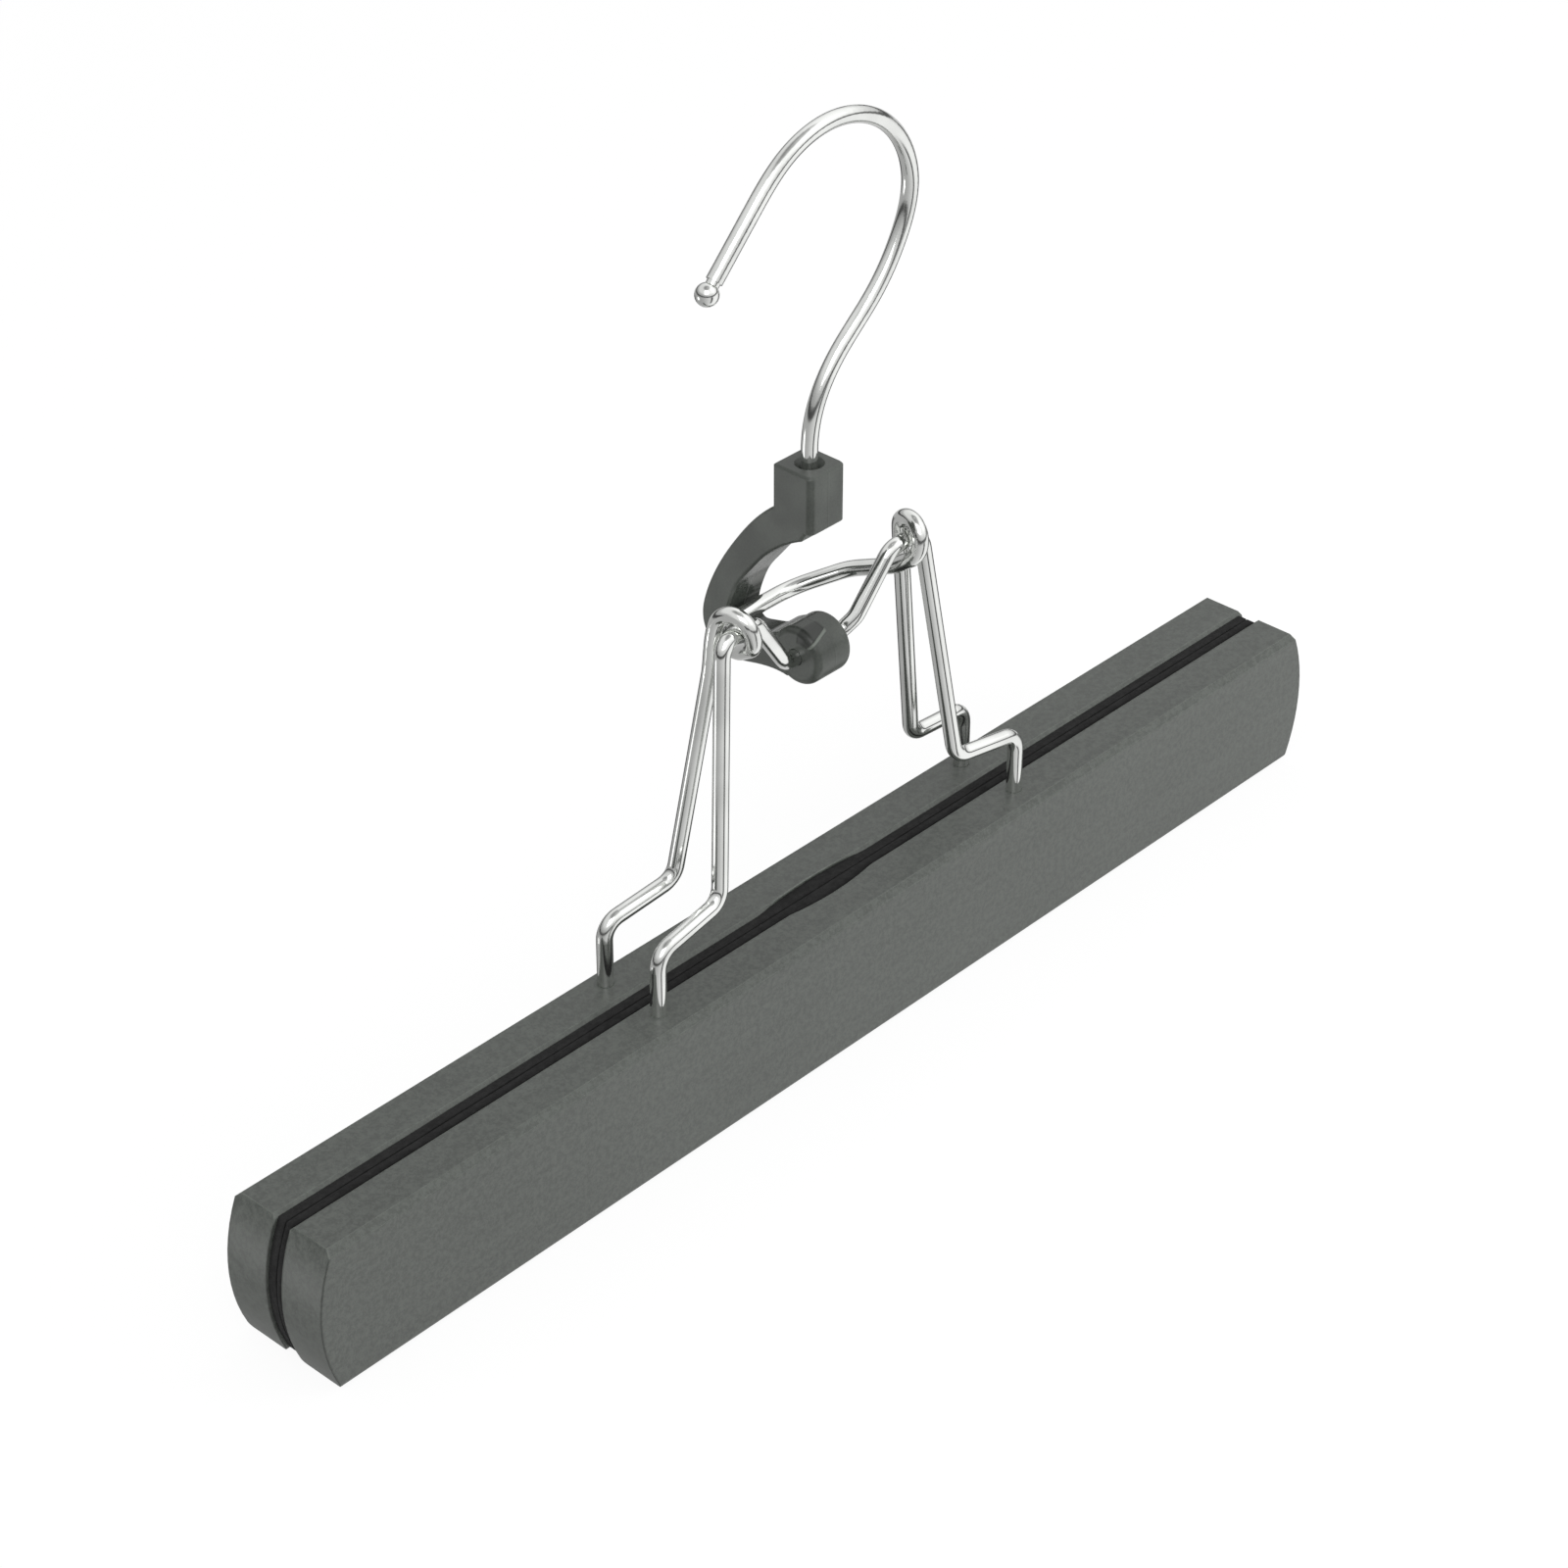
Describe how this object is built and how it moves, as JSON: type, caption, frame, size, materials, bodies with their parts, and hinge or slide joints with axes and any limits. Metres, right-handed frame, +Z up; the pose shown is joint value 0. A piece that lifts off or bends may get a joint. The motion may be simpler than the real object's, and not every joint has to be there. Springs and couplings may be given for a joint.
{
  "type": "trouser hanger",
  "caption": "Long clamp hanger for trousers: felt-lined bars on hinged wire yokes, a cam lock lever and a swivelling hook.",
  "frame": {"origin": "where a rail carries the hook: on the underside of the hook's crest, in the hook's own plane", "axes": "+X along the bars to the right, +Y towards the rear bar, +Z up"},
  "size_m": [0.2563, 0.0354, 0.1728],
  "materials": {
    "hook_wire": "bright plated",
    "yoke_wire": "bright plated",
    "lever": "moulded, satin, with a glossy inner cam face",
    "bar": "opaque charcoal lacquer, matt",
    "lining": "dense black felt"
  },
  "bodies": {
    "hook": {"hook": "hook_wire"},
    "lever": {"lock_lever": "lever"},
    "front_set": {"front_yoke": "yoke_wire", "front_bar": "bar", "front_lining": "lining"},
    "rear_set": {"rear_yoke": "yoke_wire", "rear_bar": "bar", "rear_lining": "lining"}
  },
  "joints": [
    {"name": "hook_swivel", "type": "hinge", "parent": "hook", "child": "lever", "pos_m": [-0.00464, 0, -0.06352], "axis": [0, 0, 1], "continuous": true},
    {"name": "lock_flip", "type": "hinge", "parent": "lever", "child": "front_set", "pos_m": [-0.00464, -0.001, -0.09342], "axis": [1, 0, 0], "range_deg": [0, 100]},
    {"name": "jaw_open", "type": "hinge", "parent": "front_set", "child": "rear_set", "pos_m": [-0.00464, -0.00345, -0.08022], "axis": [1, 0, 0], "range_deg": [0, 8]}
  ],
  "couplings": [
    {"joint": "jaw_open", "follows": "lock_flip", "ratio": 0.08}
  ]
}
